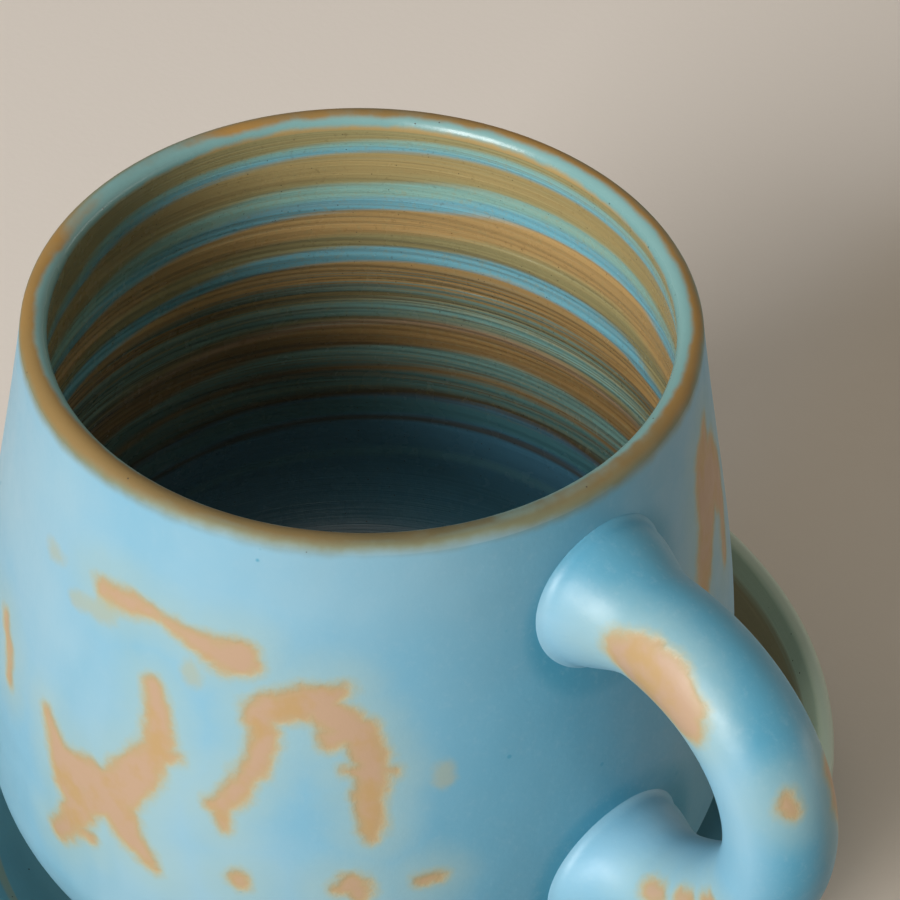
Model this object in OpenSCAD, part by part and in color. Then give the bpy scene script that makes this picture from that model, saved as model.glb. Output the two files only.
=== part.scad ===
// Wheel-thrown stoneware mug with a pulled ear handle, standing in its own deep saucer.
// The clay bodies, the handle and each fired coat of glaze are separate solids, in millimetres.
// Z = 0 is the plane of the saucer's foot, the axis of both vessels is Z, the handle points to +X.

/* [Mug] */
// Height of the mug from its foot to the top of the lip
mug_h = 82.2; // [74:0.2:96]
// Outside diameter at the lip
lip_d = 80; // [72:0.2:88]
// Outside diameter at the widest point of the belly
belly_d = 94.4; // [88:0.2:102]
// Height of the widest point above the foot
belly_h = 18.6; // [15:0.2:24]
// Lean of the wall under the lip, from upright, in degrees
lip_lean = 8; // [2:0.5:12]
// Thickness of the rounded lip
lip_t = 3.2; // [2.4:0.1:4.4]
// Thickness of the wall at the belly
belly_t = 4.6; // [3.4:0.1:6]
// Thickness of the floor
floor_t = 5.2; // [4:0.1:8]
// Radius of the bowl's inside corner, between wall and floor
bowl_r = 13; // [8:0.5:17]

/* [Mug foot] */
// Outside diameter of the mug's foot ring
foot_d = 72; // [64:0.5:78]
// Width of the foot ring
foot_w = 5; // [3:0.5:9]
// Height of the foot ring, which is the depth of the hollow under the floor
foot_h = 2; // [1.2:0.1:3.5]
// Lean of the heel where it leaves the foot ring, from level, in degrees
heel_lean = 22; // [12:1:35]

/* [Throwing rings] */
// Number of throwing rings up the inside wall
ring_count = 11; // [6:1:16]
// Height of a throwing ring's crest over its groove
ring_h = 0.3; // [0.2:0.05:0.8]

/* [Handle] */
// Gap between the top of the lip and the seat of the upper joint
lip_gap = 6.9; // [3:0.1:12]
// Height of the lower joint's centre above the mug's foot
lower_h = 26; // [21:0.5:32]
// Rise of the handle where it leaves the upper joint, in degrees
upper_rise = 22; // [5:1:35]
// Reach of the pull at the upper joint
upper_pull = 36; // [30:0.5:44]
// Rise of the handle where it leaves the lower joint, in degrees
lower_rise = 5; // [0:1:22]
// Reach of the pull at the lower joint
lower_pull = 42; // [34:0.5:48]
// Thickness of the handle across the ear
handle_t = 12.6; // [10:0.2:14]
// Width of the handle along the wall
handle_w = 13.4; // [11:0.2:17]
// How far the handle spreads at the wall on the outer side of the upper joint
upper_flare = 3.2; // [2:0.1:5]
// How far the handle spreads at the wall on the outer side of the lower joint
lower_flare = 4.6; // [2:0.1:6]
// How far the handle spreads at the wall on the side of the finger
finger_flare = 1.9; // [0.8:0.1:4]
// Distance from the wall over which the spread dies away
flare_run = 9; // [7:0.5:14]

/* [Saucer] */
// Diameter of the saucer
saucer_d = 121.6; // [114:0.2:140]
// Depth of the well below the saucer's lip
well_depth = 15.4; // [12:0.2:18]
// Thickness of the saucer's floor over the hollow in its foot
saucer_floor_t = 5; // [4:0.1:8]
// Diameter of the flat floor of the well
well_d = 84; // [78:0.5:90]
// Thickness of the saucer's rounded lip
saucer_lip_t = 2.4; // [2:0.1:4]
// Lean of the saucer's wall under its lip, from upright, in degrees
saucer_lean = 24; // [15:1:35]

/* [Saucer foot] */
// How far the saucer's foot ring stands in from the edge of the well's flat floor
foot_inset = 2; // [0:0.2:4]
// Width of the saucer's foot ring
saucer_foot_w = 6; // [4:0.5:10]
// Height of the saucer's foot ring, which is the depth of the hollow under the floor
saucer_foot_h = 3.6; // [2:0.1:4.5]
// Lean of the saucer's underside where it leaves the foot ring, from level, in degrees
saucer_heel_lean = 12; // [5:1:20]

/* [Glaze] */
// Thickness of the fired glaze, which all the other sizes include
glaze_t = 0.4; // [0.2:0.05:0.6]
// Width of the softened edges of both bare foot rings
foot_soft = 0.6; // [0.2:0.1:1]

/* [Hidden] */
$fn = 96;

clay = [0.76, 0.62, 0.49];
sky = [0.55, 0.75, 0.84];
tan_teal = [0.60, 0.52, 0.38];
iron_brown = [0.55, 0.38, 0.20];
dark_teal = [0.34, 0.46, 0.46];

// Points along a wall, round a corner and over a lip
wall_steps = 14;
corner_steps = 10;
lip_steps = 12;
// Points up the inside wall for each throwing ring
ring_steps = 8;
// Sides and rings of the handle's sweep, and the rings that reach through one joint
handle_sides = 24;
handle_rings = 48;
joint_rings = 14;
// How much closer the rings stand at the joints than along the rest of the handle
ring_bunching = 0.5;
// Share of a curve's rise over which its ends stay nearly straight
pull = 0.42;

function unit(v) = v / norm(v);
function left(v) = [-v[1], v[0]];
function reversed(list) = [for (i = [len(list) - 1:-1:0]) list[i]];
function joined(a, b) = concat(a, [for (i = [1:len(b) - 1]) b[i]]);

// A cubic curve through four control points, and the direction in which it runs
function bezier(p, t) =
  pow(1 - t, 3) * p[0] + 3 * pow(1 - t, 2) * t * p[1] + 3 * (1 - t) * t * t * p[2] + pow(t, 3) * p[3];
function bezier_run(p, t) =
  pow(1 - t, 2) * (p[1] - p[0]) + 2 * (1 - t) * t * (p[2] - p[1]) + t * t * (p[3] - p[2]);

// Points along a curve, moved to the left of the way it runs, and points along an arc
function curve(p, steps, shift = 0) = [
  for (i = [0:steps])
    let (t = i / steps) bezier(p, t) + shift * left(unit(bezier_run(p, t)))
];
function arc(centre, r, from, to, steps) = [
  for (i = [0:steps])
    let (a = from + (to - from) * i / steps) centre + r * [cos(a), sin(a)]
];

// The section of a bare foot ring, from the axis out to its outer face
function foot_ring(r, w, h) = [
  [0, h], [r - w, h], [r - w, foot_soft], [r - w + foot_soft, 0], [r - foot_soft, 0], [r, foot_soft]
];

// The mug's foot stands on the floor of the well
mug_z = saucer_foot_h + saucer_floor_t;

// The mug's lip, a half circle square to the leaning wall
lip_r = lip_t / 2;
lip_z = mug_h - lip_r;
lip_c = [lip_d / 2 - lip_r, lip_z];
lip_out = lip_c + lip_r * [cos(lip_lean), sin(lip_lean)];
lip_in = lip_c - lip_r * [cos(lip_lean), sin(lip_lean)];
wall_down = [sin(lip_lean), -cos(lip_lean)];
function lip_line(coat) = arc(lip_c, lip_r - glaze_t + coat, lip_lean, 180 + lip_lean, lip_steps);

// The mug's outside, from the foot ring up to the lip
belly_r = belly_d / 2;
foot = [foot_d / 2, foot_h];
belly = [belly_r, belly_h];
heel_pull = pull * (belly_h - foot_h);
side_pull = pull * (lip_z - belly_h);
heel_curve = [
  foot, foot + heel_pull * [cos(heel_lean), sin(heel_lean)], belly - [0, heel_pull], belly
];
side_curve = [belly, belly + [0, side_pull], lip_out + side_pull * wall_down, lip_out];
function outside(coat) = joined(
  curve(heel_curve, corner_steps, glaze_t - coat), curve(side_curve, wall_steps, glaze_t - coat)
);

// The mug's inside, from the lip down to the edge of the flat floor
floor_z = foot_h + floor_t;
bowl_c = [belly_r - belly_t - bowl_r, floor_z + bowl_r];
bowl_top = bowl_c + [bowl_r, 0];
inside_pull = pull * (lip_z - bowl_top[1]);
inside_curve = [lip_in, lip_in + inside_pull * wall_down, bowl_top + [0, inside_pull], bowl_top];
function bowl_corner(coat) = arc(bowl_c, bowl_r + glaze_t - coat, 0, -90, corner_steps);
clay_inside = joined(curve(inside_curve, wall_steps, glaze_t), bowl_corner(0));

// Throwing rings stand in from the inside wall and die away at the lip and at the floor
function ring_rise(t) = ring_h * sin(180 * t) * (1 - cos(360 * ring_count * t)) / 2;
ringed_wall = [
  for (i = [0:ring_count * ring_steps])
    let (t = i / (ring_count * ring_steps)) bezier(inside_curve, t) - [ring_rise(t), 0]
];

// The outer half of each joint's seat, how deep in the wall the path ends there, and the upper joint's height
upper_seat = handle_t / 2 + upper_flare;
lower_seat = handle_t / 2 + lower_flare;
upper_depth = upper_seat / 2;
lower_depth = lower_seat / 2;
upper_h = mug_h - lip_gap - upper_seat / cos(upper_rise);

// The handle's path as x and z, from inside the wall at the upper joint to inside it at the lower
wall_line = [for (p = outside(0)) [p[1], p[0]]];
upper_joint = [lookup(upper_h, wall_line) - upper_depth, upper_h];
lower_joint = [lookup(lower_h, wall_line) - lower_depth, lower_h];
handle_path = [
  upper_joint,
  upper_joint + (upper_pull + upper_depth) * [cos(upper_rise), sin(upper_rise)],
  lower_joint + (lower_pull + lower_depth) * [cos(lower_rise), sin(lower_rise)],
  lower_joint
];

// One point of an oval round the path, and how far the clay spreads there to meet the wall
function oval_point(here, rise, a, grow) =
  let (at = here + (handle_t / 2 + grow) * cos(a) * rise)
    [at[0], (handle_w / 2 + grow) * sin(a), at[1]];
function spread(p, a, flare) =
  let (
    away = max(norm([p[0], p[1]]) - lookup(p[2], wall_line), 0),
    at_wall = (flare + finger_flare + (flare - finger_flare) * cos(a)) / 2
  ) at_wall * (1 + cos(180 * min(away / flare_run, 1))) / 2;

// One ring of the handle, square to its path, with a coat over the clay
function handle_ring(i, coat) =
  let (
    u = i / handle_rings,
    flare = u < 0.5 ? upper_flare : lower_flare,
    t = u - ring_bunching * sin(360 * u) / (2 * PI),
    here = bezier(handle_path, t),
    rise = left(unit(bezier_run(handle_path, t)))
  ) [
    for (k = [0:handle_sides - 1])
      let (a = 360 * k / handle_sides)
        oval_point(here, rise, a, spread(oval_point(here, rise, a, 0), a, flare) + coat - glaze_t)
  ];

// Two triangles for each cell between one ring of points and the next
function ring_cells(a, b) = [
  for (k = [0:handle_sides - 1])
    let (n = (k + 1) % handle_sides)
      each [[a + k, a + n, b + k], [a + n, b + n, b + k]]
];

// The clay of the handle between two of its rings, as a closed sweep
module handle_sweep(first, last) {
  count = last - first;
  pts = [for (i = [first:last]) each handle_ring(i, 0)];
  side = [for (i = [0:count - 1]) each ring_cells(i * handle_sides, (i + 1) * handle_sides)];
  start_cap = [for (k = [handle_sides - 1:-1:0]) k];
  end_cap = [for (k = [0:handle_sides - 1]) count * handle_sides + k];
  polyhedron(pts, concat(side, [start_cap, end_cap]));
}

// The coat of glaze round the handle, as a closed tube with a ring-shaped face at each end
module handle_coat() {
  end = handle_rings * handle_sides;
  inner = end + handle_sides;
  pts = [for (coat = [glaze_t, 0], i = [0:handle_rings]) each handle_ring(i, coat)];
  rows = [for (i = [0:handle_rings - 1]) i * handle_sides];
  polyhedron(pts, concat(
    [for (row = rows) each ring_cells(row, row + handle_sides)],
    [for (row = rows, cell = ring_cells(inner + row, inner + row + handle_sides)) reversed(cell)],
    ring_cells(inner, 0),
    ring_cells(end, inner + end)
  ));
}

// Everything inside the mug's outer face
module filled_mug(coat) {
  line = outside(coat);
  rotate_extrude() polygon(concat([[0, line[0][1]]], line, [[0, line[len(line) - 1][1]]]));
}

module on_saucer() {
  translate([0, 0, mug_z]) children();
}

module mug_body() {
  clay_outside = outside(0);
  color(clay) on_saucer() rotate_extrude() polygon(concat(
    foot_ring(clay_outside[0][0], foot_w, foot_h),
    joined(joined(clay_outside, lip_line(0)), clay_inside),
    [[0, floor_z - glaze_t]]
  ));
}

module mug_handle() {
  color(clay) on_saucer() difference() {
    handle_sweep(0, handle_rings);
    filled_mug(0);
  }
}

module outer_glaze() {
  color(sky) on_saucer() difference() {
    rotate_extrude() polygon(concat(outside(glaze_t), reversed(outside(0))));
    handle_sweep(0, joint_rings);
    handle_sweep(handle_rings - joint_rings, handle_rings);
  }
}

module handle_glaze() {
  color(sky) on_saucer() difference() {
    handle_coat();
    filled_mug(glaze_t);
  }
}

module liner_glaze() {
  color(tan_teal) on_saucer() rotate_extrude() polygon(concat(
    joined(ringed_wall, bowl_corner(glaze_t)),
    [[0, floor_z], [0, floor_z - glaze_t]],
    reversed(clay_inside)
  ));
}

module lip_glaze() {
  color(iron_brown) on_saucer() rotate_extrude() polygon(
    concat(lip_line(glaze_t), reversed(lip_line(0)))
  );
}

// The saucer's lip, a half circle square to its leaning wall
saucer_lip_r = saucer_lip_t / 2;
saucer_lip_c = [saucer_d / 2 - saucer_lip_r, mug_z + well_depth - saucer_lip_r];
across_wall = saucer_lip_r * [cos(saucer_lean), -sin(saucer_lean)];
saucer_wall_down = [-sin(saucer_lean), -cos(saucer_lean)];
saucer_pull = pull * well_depth;

// The saucer's upper face from the middle of the well over the lip, and its face under the lip
well_edge = [well_d / 2, mug_z];
saucer_foot = [well_d / 2 - foot_inset, saucer_foot_h];
saucer_lip_in = saucer_lip_c - across_wall;
saucer_lip_out = saucer_lip_c + across_wall;
well_curve = [
  well_edge, well_edge + [saucer_pull, 0], saucer_lip_in + saucer_pull * saucer_wall_down, saucer_lip_in
];
under_curve = [
  saucer_foot,
  saucer_foot + saucer_pull * [cos(saucer_heel_lean), sin(saucer_heel_lean)],
  saucer_lip_out + saucer_pull * saucer_wall_down,
  saucer_lip_out
];
function saucer_top(coat) = joined(
  concat([[0, mug_z - glaze_t + coat]], curve(well_curve, wall_steps, coat - glaze_t)),
  arc(saucer_lip_c, saucer_lip_r - glaze_t + coat, 180 - saucer_lean, -saucer_lean, lip_steps)
);
function saucer_under(coat) = curve(under_curve, wall_steps, glaze_t - coat);

module saucer_body() {
  clay_under = saucer_under(0);
  color(clay) rotate_extrude() polygon(concat(
    foot_ring(clay_under[0][0], saucer_foot_w, saucer_foot_h),
    joined(clay_under, reversed(saucer_top(0)))
  ));
}

module saucer_top_glaze() {
  color(dark_teal) rotate_extrude() polygon(concat(saucer_top(glaze_t), reversed(saucer_top(0))));
}

module saucer_under_glaze() {
  color(sky) rotate_extrude() polygon(concat(saucer_under(glaze_t), reversed(saucer_under(0))));
}

mug_body();
mug_handle();
outer_glaze();
handle_glaze();
liner_glaze();
lip_glaze();
saucer_body();
saucer_top_glaze();
saucer_under_glaze();
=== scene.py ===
"""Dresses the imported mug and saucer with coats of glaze, bare clay, a table top, lamps and a camera."""
import math

import bpy
import numpy as np
from mathutils import Matrix, Vector


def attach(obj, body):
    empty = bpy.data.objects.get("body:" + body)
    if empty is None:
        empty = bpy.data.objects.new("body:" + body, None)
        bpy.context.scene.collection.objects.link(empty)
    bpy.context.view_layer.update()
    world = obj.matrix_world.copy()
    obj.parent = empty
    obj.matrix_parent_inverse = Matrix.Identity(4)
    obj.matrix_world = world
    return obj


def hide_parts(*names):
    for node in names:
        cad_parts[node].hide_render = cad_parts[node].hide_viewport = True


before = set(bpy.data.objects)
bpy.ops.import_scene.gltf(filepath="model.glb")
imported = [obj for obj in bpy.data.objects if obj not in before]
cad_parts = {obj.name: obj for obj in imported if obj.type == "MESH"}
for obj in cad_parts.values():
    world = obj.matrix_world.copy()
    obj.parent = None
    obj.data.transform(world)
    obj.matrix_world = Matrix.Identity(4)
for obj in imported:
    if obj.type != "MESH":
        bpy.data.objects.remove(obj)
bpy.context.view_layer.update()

MM = 0.001

# Sizes of the part, in millimetres and degrees. Heights on the mug are above its own foot.
MUG_Z = 8.6
MUG_H = 82.2
LIP_D = 80.0
BELLY_D = 94.4
BELLY_H = 18.6
LIP_LEAN = 8.0
LIP_R = 1.6
BELLY_T = 4.6
FLOOR_Z = 7.2
BOWL_R = 13.0
FOOT_D = 72.0
FOOT_H = 2.0
HEEL_LEAN = 22.0
RING_COUNT = 11
RING_H = 0.3
LIP_GAP = 6.9
LOWER_H = 26.0
UPPER_RISE = 22.0
UPPER_PULL = 36.0
LOWER_RISE = 5.0
LOWER_PULL = 42.0
HANDLE_T = 12.6
HANDLE_W = 13.4
UPPER_FLARE = 3.2
LOWER_FLARE = 4.6
FINGER_FLARE = 1.9
FLARE_RUN = 9.0
SAUCER_D = 121.6
SAUCER_H = 24.0
WELL_DEPTH = 15.4
WELL_D = 84.0
SAUCER_LIP_R = 1.2
SAUCER_LEAN = 24.0
SAUCER_FOOT_D = 80.0
SAUCER_FOOT_H = 3.6
SAUCER_HEEL_LEAN = 12.0
GLAZE_T = 0.4
# Share of a curve's height by which its two middle points are drawn out from its ends
PULL = 0.42

# Points round each vessel, along its profiles, and round and along the handle
SIDES = 600
SAUCER_SIDES = 360
HEEL_STEPS = 44
WALL_STEPS = 170
LIP_STEPS = 22
RING_STEPS = 300
CORNER_STEPS = 30
FLOOR_STEPS = 24
BACK_STEPS = 12
HANDLE_SIDES = 120
HANDLE_STEPS = 220
# Edges sharper than this, in degrees, stay hard
CREASE = 40
# Radius under which a row of points counts as one point on the axis
ON_AXIS = 1e-6


def direction(angle):
    """The unit vector at an angle in degrees, as radius and height or as x and y."""
    return np.array([math.cos(math.radians(angle)), math.sin(math.radians(angle))])


def bezier(points, t):
    """Points of a cubic curve."""
    t = np.asarray(t, dtype=float)[..., None]
    a, b, c, d = (np.asarray(p, dtype=float) for p in points)
    return (1 - t) ** 3 * a + 3 * (1 - t) ** 2 * t * b + 3 * (1 - t) * t ** 2 * c + t ** 3 * d


def bezier_run(points, t):
    """The unit direction in which a cubic curve runs."""
    t = np.asarray(t, dtype=float)[..., None]
    a, b, c, d = (np.asarray(p, dtype=float) for p in points)
    run = (1 - t) ** 2 * (b - a) + 2 * (1 - t) * t * (c - b) + t ** 2 * (d - c)
    return run / np.linalg.norm(run, axis=-1, keepdims=True)


def to_left(run):
    """The direction to the left of each direction."""
    return np.stack([-run[..., 1], run[..., 0]], axis=-1)


def curve(points, steps, shift=0.0):
    """Points along a cubic curve, moved to the left of the way it runs."""
    t = np.linspace(0, 1, steps + 1)
    return bezier(points, t) + shift * to_left(bezier_run(points, t))


def level_line(start, end, height, steps):
    """Points at one height, from one radius to another."""
    return np.stack([np.linspace(start, end, steps + 1), np.full(steps + 1, height)], axis=-1)


def arc(centre, radius, start, end, steps):
    angles = np.radians(np.linspace(start, end, steps + 1))
    return centre + radius * np.stack([np.cos(angles), np.sin(angles)], axis=-1)


def joined(*lines):
    """Lines one after the other, without the point at which each meets the last."""
    return np.concatenate([lines[0]] + [line[1:] for line in lines[1:]])


def arc_length(line):
    """Distance along a line of points, from its first point."""
    return np.concatenate([[0], np.cumsum(np.linalg.norm(np.diff(line, axis=0), axis=1))])


# The mug's profile as radius and height, from the foot over the lip and down to the middle of the floor
lip_c = np.array([LIP_D / 2 - LIP_R, MUG_H - LIP_R])
lip_out = lip_c + LIP_R * direction(LIP_LEAN)
lip_in = lip_c - LIP_R * direction(LIP_LEAN)
wall_down = direction(LIP_LEAN - 90)
foot = np.array([FOOT_D / 2, FOOT_H])
belly = np.array([BELLY_D / 2, BELLY_H])
heel_pull = PULL * (BELLY_H - FOOT_H)
side_pull = PULL * (lip_c[1] - BELLY_H)
heel_curve = [foot, foot + heel_pull * direction(HEEL_LEAN), belly - [0, heel_pull], belly]
side_curve = [belly, belly + [0, side_pull], lip_out + side_pull * wall_down, lip_out]
bowl_c = np.array([BELLY_D / 2 - BELLY_T - BOWL_R, FLOOR_Z + BOWL_R])
bowl_top = bowl_c + [BOWL_R, 0]
inside_pull = PULL * (lip_c[1] - bowl_top[1])
inside_curve = [lip_in, lip_in + inside_pull * wall_down, bowl_top + [0, inside_pull], bowl_top]


# Each line below takes the coat's thickness: GLAZE_T gives its finished face, and 0 the clay's face.
def outside(coat, heel_steps, wall_steps):
    shift = GLAZE_T - coat
    return joined(curve(heel_curve, heel_steps, shift), curve(side_curve, wall_steps, shift))


def lip_line(coat, steps):
    return arc(lip_c, LIP_R - GLAZE_T + coat, LIP_LEAN, 180 + LIP_LEAN, steps)


def bowl_corner(coat, steps):
    return arc(bowl_c, BOWL_R + GLAZE_T - coat, 0, -90, steps)


wall_line = outside(GLAZE_T, HEEL_STEPS, WALL_STEPS)


def wall_radius(height):
    """Radius of the mug's finished outside at a height above its foot."""
    return np.interp(height, wall_line[:, 1], wall_line[:, 0])


def make_piece(name, verts, faces, values, body, node, material):
    """Makes a closed mesh that stands for one CAD node, with one number a point for each named value."""
    mesh = bpy.data.meshes.new(name)
    mesh.from_pydata((verts * MM).tolist(), [], faces)
    for key, numbers in values.items():
        layer = mesh.attributes.new(key, "FLOAT", "POINT")
        layer.data.foreach_set("value", np.asarray(numbers, dtype=np.float32).ravel())
    mesh.shade_smooth()
    mesh.set_sharp_from_angle(angle=math.radians(CREASE))
    mesh.materials.append(material)
    piece = bpy.data.objects.new(name, mesh)
    bpy.context.collection.objects.link(piece)
    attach(piece, body)
    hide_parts(node)


def lathe(radius, height, sides):
    """Points and faces of a closed profile turned round Z. Rows on the axis become one point.

    radius and height have a row for each point of the profile, and radius may differ round the row.
    """
    turn = np.linspace(0, 2 * math.pi, sides, endpoint=False)
    verts, starts, pole = [], [], []
    count = 0
    for row_radius, row_height in zip(radius, height):
        on_axis = np.max(row_radius) < ON_AXIS
        around = np.array([0.0]) if on_axis else turn
        ring_r = np.broadcast_to(row_radius, around.shape)
        ring_z = np.full(around.shape, row_height)
        verts.append(np.stack([ring_r * np.cos(around), ring_r * np.sin(around), ring_z], axis=-1))
        starts.append(count)
        pole.append(on_axis)
        count += len(around)
    faces = []
    rows = len(starts)
    for i in range(rows):
        j = (i + 1) % rows
        a, b = starts[i], starts[j]
        if pole[i] and pole[j]:
            continue
        for k in range(sides):
            n = (k + 1) % sides
            if pole[i]:
                faces.append((a, b + n, b + k))
            elif pole[j]:
                faces.append((a + k, a + n, b))
            else:
                faces.append((a + k, a + n, b + n, b + k))
    return np.concatenate(verts), faces


def row_values(values, radius, sides):
    """One number a row, spread over the points that lathe makes of the rows."""
    return np.concatenate([
        np.full(1 if np.max(r) < ON_AXIS else sides, v) for v, r in zip(values, radius)
    ])


# Places where the glaze ran thin, as lines of (turn from the handle in degrees, height, half width)
BREAKS = [
    [(-85, 66.5, 0.6), (-80, 66.8, 0.8), (-74, 66.8, -0.2), (-69, 66, 0.2), (-64.5, 65, 1.2),
     (-60.5, 65, 1.6), (-57.5, 64.5, -0.1)],
    [(-95, 43, -0.2), (-92.6, 40.2, 0.7), (-90.4, 37.5, 1.8), (-88.6, 34.8, 2.3), (-86.5, 33, 1.8),
     (-88.5, 29, 1.1), (-91.5, 25.5, 0.4)],
    [(-90.2, 38.2, 1.6), (-86, 38.4, 2.0), (-81, 38.4, 2.2)],
    [(-88.5, 29, 0.6), (-84.5, 29, -0.1)],
    [(-86, 33.5, 1.2), (-80.5, 38, 2.4), (-76.5, 42.5, 2.1), (-73, 48, 1.2), (-72.5, 50, 1.0),
     (-73, 54, 0.8), (-74, 57, 0.3)],
    [(-73.5, 47.5, 0.9), (-69.5, 48.5, -0.2)],
    [(-80.5, 38, 2.2), (-77.5, 34, 1.8), (-74.5, 32, 0.8), (-72, 30, -0.2)],
    [(-57, 58.5, 0.8), (-52, 60, 1.4), (-47, 61, 1.4), (-44, 62.5, 0.1)],
    [(-47, 60, 1.4), (-42, 57, 1.5), (-39.5, 53, 1.0), (-40, 48, 1.0), (-39.5, 43, 0.4),
     (-39.5, 41.5, -0.2)],
    [(-42, 57, 1.2), (-45.5, 56, 0.8)],
    [(-39.5, 52, 0.4), (-36.5, 51.5, -0.2)],
    [(-40, 51, 0.4), (-43.5, 51.5, -0.2)],
    [(-57, 58, 0.8), (-55.5, 55.5, 0.6), (-57, 50.5, 0.8), (-59, 47, 0.7), (-62, 43.5, 0.4),
     (-63.5, 43.5, -0.2)],
    [(-62, 43.5, 0.3), (-61, 40.5, -0.3)],
    [(-59, 33, 0.3), (-58.5, 32.5, 0.2)],
    [(-44.5, 33.5, 0.0), (-42, 34.5, 0.8), (-41.5, 33, 0.5)],
    [(-32.5, 34.5, 0.1), (-30.5, 34.8, 0.0)],
    [(-110.5, 48, -0.1), (-108, 45, 0.1), (-107, 40, -0.2)],
]
# Breaks to the right of the handle, in the same form
SIDE_BREAKS = [
    [(34, 73.5, 0.4), (32, 70.5, 2.0), (32, 66.5, 3.0), (31, 62.5, 2.6), (28, 59, 1.7), (26.5, 56.5, 1.5),
     (25.5, 54.5, 0.7)],
    [(36, 67, 2.6), (39, 62, 2.4), (40, 58.5, 0.9), (38.5, 55, 0.6), (37.5, 51.5, 0.2)],
]
# Breaks of the same kind on the far side
BACK_BREAKS = [
    [(64, 31, -0.1), (69, 34, 1.1), (76, 37, 1.8), (83, 37.5, 1.2), (89, 34, 0.2)],
    [(76, 37, 1.3), (79, 43, 1.0), (77.5, 48, 0.7), (80, 52, -0.2)],
    [(92, 57, -0.1), (97, 60, 0.9), (104, 61, 1.6), (111, 59, 1.0), (117, 54.5, -0.1)],
    [(104, 60, 1.0), (101.5, 54, 0.6), (103, 49, -0.2)],
    [(123, 31, 0.0), (128, 36, 1.4), (131, 41, 2.2), (134, 46, 1.6), (132, 52, 0.3)],
    [(131, 40, 1.6), (138, 39.5, 1.1), (145, 34, 0.0)],
    [(128, 36, 0.8), (121.5, 40.5, -0.1)],
    [(149, 64, -0.1), (154, 60.5, 1.3), (159, 55, 0.9), (158.5, 50, -0.1)],
    [(164, 43, -0.1), (171, 46.5, 0.9), (180, 45.5, 1.6), (187, 41, 1.0), (190, 36, -0.1)],
    [(180, 45, 1.0), (177.5, 39, 0.6), (180.5, 34, -0.2)],
    [(199, 57, 0.0), (206, 60.5, 1.2), (212, 59, 0.8), (218, 59.5, -0.1)],
    [(204, 36, 0.1), (209, 33, 1.1), (215, 34, 0.2)],
    [(111, 30, 0.4), (113, 30.8, 0.2)],
    [(148, 29, 0.1), (149.5, 29.6, 0.2)],
    [(169, 31, 0.5), (171.5, 29.5, 0.2)],
    [(194, 52.5, 0.2), (195, 51, 0.1)],
    [(85, 66, 0.2), (88.5, 67, -0.1)],
]
# Faint runs of thin glaze, which never open into a break
FAINT_RUNS = [
    [(-91, 62, 0.3), (-84, 63.5, 0.7)],
    [(-29, 51, 0.3), (-29, 49.5, 0.2)],
    [(-68, 61.5, 0.4), (-67.5, 60.5, 0.4)],
    [(-98, 65.5, 0.4), (-96, 65.5, 0.3)],
]
# Distance in millimetres at which a point has nothing to do with a stroke or the lip
FAR = 9.0
# Least square of a stroke's length, so that none divides by 0
LEAST_LENGTH = 1e-9
# Share by which the glaze is painted darker blue by the handle, partly glaze pooling and partly painted
# shade, how far that reaches round the wall to the left and the right of it, in degrees, and how far out
# from its joints, in millimetres
POOL_AND_SHADE = 0.7
POOL_SHADE_TURN = 36.0
POOL_SHADE_TURN_BACK = 16.0
POOL_SHADE_RUN = 3.5
# Round the lip: the turn from the handle, how far the glaze burnt through, how warm its brown is, and how
# far inside the crest the brown and the pale glaze beyond it reach
LIP_BURN = [
    (-42, 1.0, 0.1, 1.0, 1.6), (-80, 1.0, 0.5, 0.9, 1.8), (-100, 1.0, 0.65, 0.6, 2.0),
    (-118, 1.0, 0.7, 0.2, 2.4), (-140, 1.0, 0.7, 0.0, 2.6), (-152, 0.7, 0.8, 1.2, 2.4),
    (-168, 0.15, 0.5, 0.4, 2.4), (-185, 0.2, 0.8, 0.4, 2.2), (-196, 1.0, 1.2, 1.1, 1.9),
    (-206, 0.8, 0.9, 0.8, 1.8), (-222, 0.75, 0.7, 0.7, 1.8), (-240, 0.8, 0.7, 0.5, 1.8),
    (-258, 1.0, 0.9, 0.4, 1.8), (-285, 1.0, 1.0, 0.1, 2.1), (-317, 1.0, 0.9, -0.3, 2.6),
    (-344, 0.7, 0.3, 0.0, 2.6), (-368, 0.5, 0.0, 0.6, 2.0),
]
# Round the lip: the turn from the handle and how much further than elsewhere the brown reaches down outside
LIP_OUT = [
    (-42, -0.4), (-66, -0.2), (-80, 0.5), (-100, 1.2), (-118, 1.1), (-136, 0.4), (-150, 0.0),
    (-270, 0.0), (-290, 0.3), (-317, 0.3), (-340, 0.2),
]


def turn_of(verts):
    """The turn of each point from the handle, in degrees."""
    return np.degrees(np.arctan2(verts[:, 1], verts[:, 0]))


def round_lip(verts):
    """What the two lists above give at the turn of each point."""
    turn = turn_of(verts)
    turns, *columns = np.array(LIP_BURN).T
    names = ("lip_burn", "lip_heat", "lip_reach", "lip_pale")
    values = {name: np.interp(turn, turns, column, period=360) for name, column in zip(names, columns)}
    values["lip_out"] = np.interp(turn, *np.array(LIP_OUT).T, period=360)
    return values


def stroke_depth(strokes, turn, radius, up):
    """How deep each point lies inside the nearest stroke, in millimetres: less than 0 outside them all."""
    def across(start):
        return radius * np.radians((turn - start + 180) % 360 - 180)

    depth = np.full(np.shape(up), -FAR)
    for stroke in strokes:
        for (turn_a, up_a, half_a), (turn_b, up_b, half_b) in zip(stroke, stroke[1:]):
            side, rise = across(turn_a), up - up_a
            along_side, along_rise = radius * math.radians(turn_b - turn_a), up_b - up_a
            length = np.maximum(along_side ** 2 + along_rise ** 2, LEAST_LENGTH)
            share = np.clip((side * along_side + rise * along_rise) / length, 0, 1)
            gap = np.hypot(side - share * along_side, rise - share * along_rise)
            depth = np.maximum(depth, half_a + share * (half_b - half_a) - gap)
    return depth


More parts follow.
